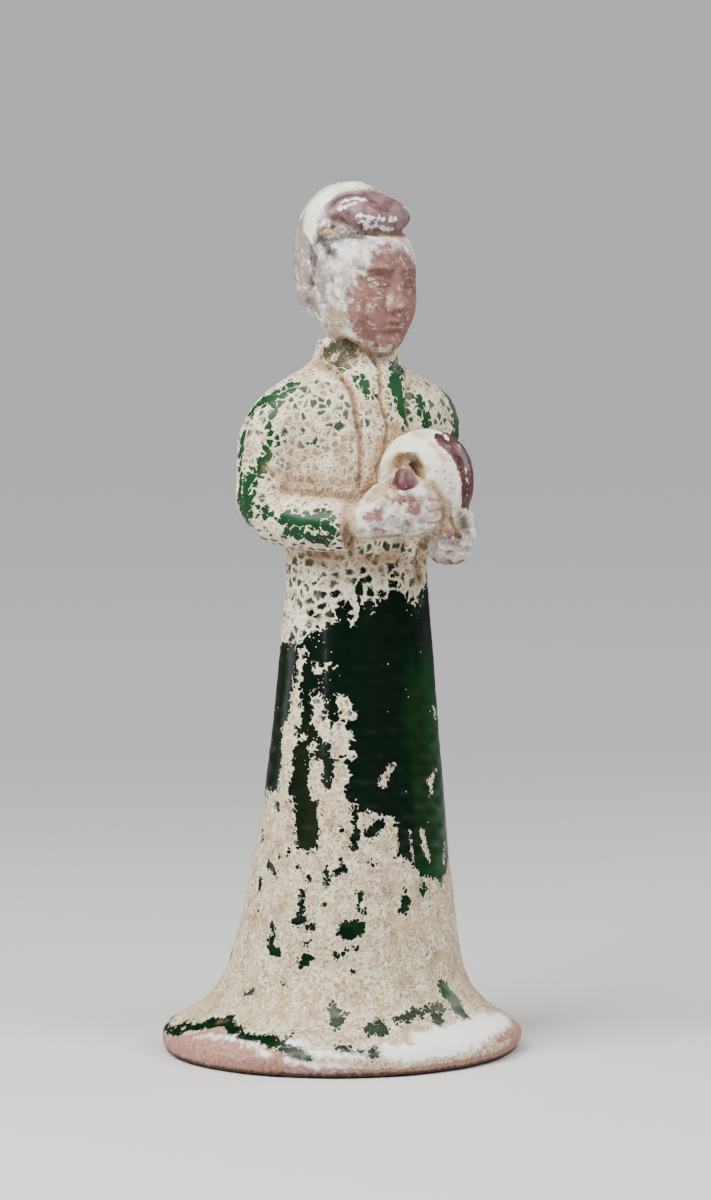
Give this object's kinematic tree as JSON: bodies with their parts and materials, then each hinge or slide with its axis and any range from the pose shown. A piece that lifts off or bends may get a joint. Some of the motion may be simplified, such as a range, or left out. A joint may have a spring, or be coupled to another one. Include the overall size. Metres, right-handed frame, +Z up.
{
  "type": "tomb attendant figure",
  "caption": "Standing tomb attendant of moulded and glazed earthenware in a long flaring robe, holding a round hat in both hands, under a folded-over topknot.",
  "frame": {"origin": "the middle of the flat underside that the figure stands on", "axes": "+Z up, -Y the way the figure's breast faces, +X towards the figure's own left hand"},
  "size_m": [0.15, 0.144, 0.3598],
  "materials": {
    "glazed_pottery": "worn green, cream and straw glaze over white slip, gone matt and crazed in the burial, with soil in the creases"
  },
  "bodies": {
    "root": {"attendant_figure": "glazed_pottery"}
  },
  "joints": []
}
